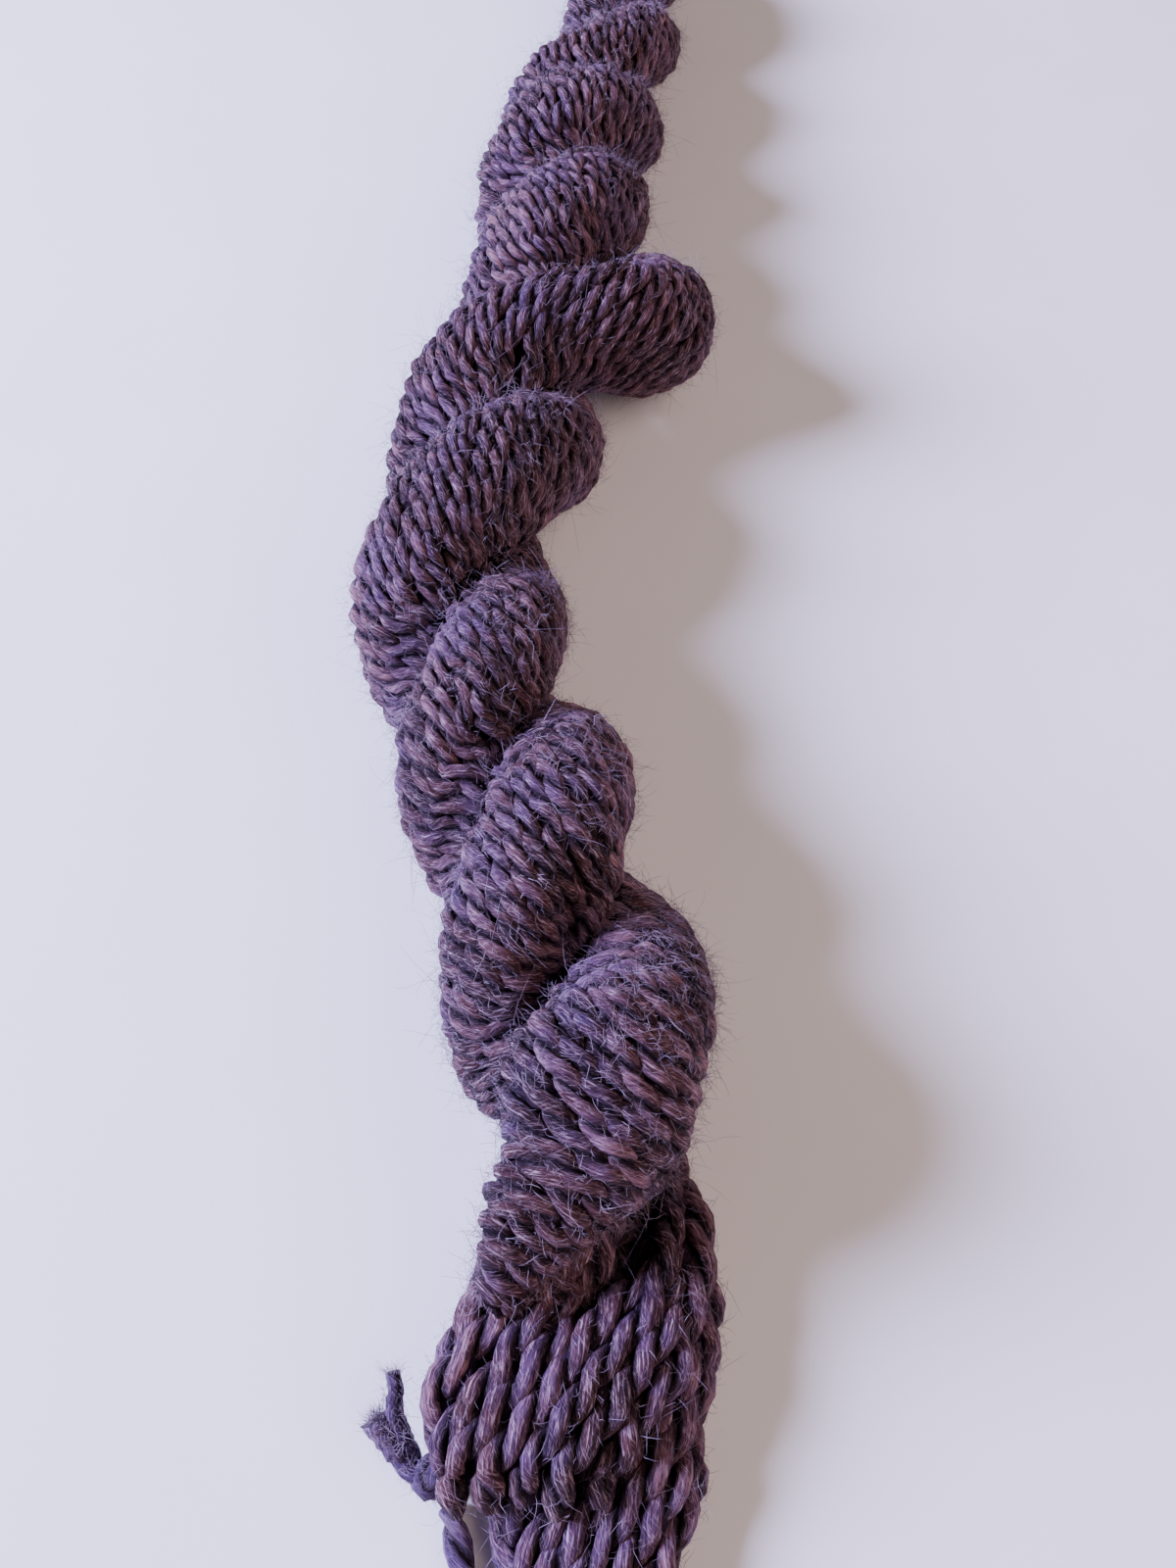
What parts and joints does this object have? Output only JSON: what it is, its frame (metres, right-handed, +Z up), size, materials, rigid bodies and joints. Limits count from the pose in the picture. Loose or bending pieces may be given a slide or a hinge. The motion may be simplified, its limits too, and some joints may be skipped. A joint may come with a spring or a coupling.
{
  "type": "hank of yarn",
  "caption": "Slender twisted hank of thick two-ply wool yarn, folded back on itself and tied near its open end.",
  "frame": {"origin": "on the table, below the middle of the hank's outline", "axes": "+Y runs along the hank from its open end to its fold, +Z is up from the table, +X to the right seen from the open end"},
  "size_m": [0.0555, 0.3324, 0.0317],
  "materials": {
    "hank": "dyed two-ply wool, soft sheen",
    "tie": "dyed two-ply wool, soft sheen",
    "tie_long_end": "dyed two-ply wool, soft sheen"
  },
  "bodies": {
    "root": {"hank": "hank", "tie": "tie", "tie_long_end": "tie_long_end"}
  },
  "joints": []
}
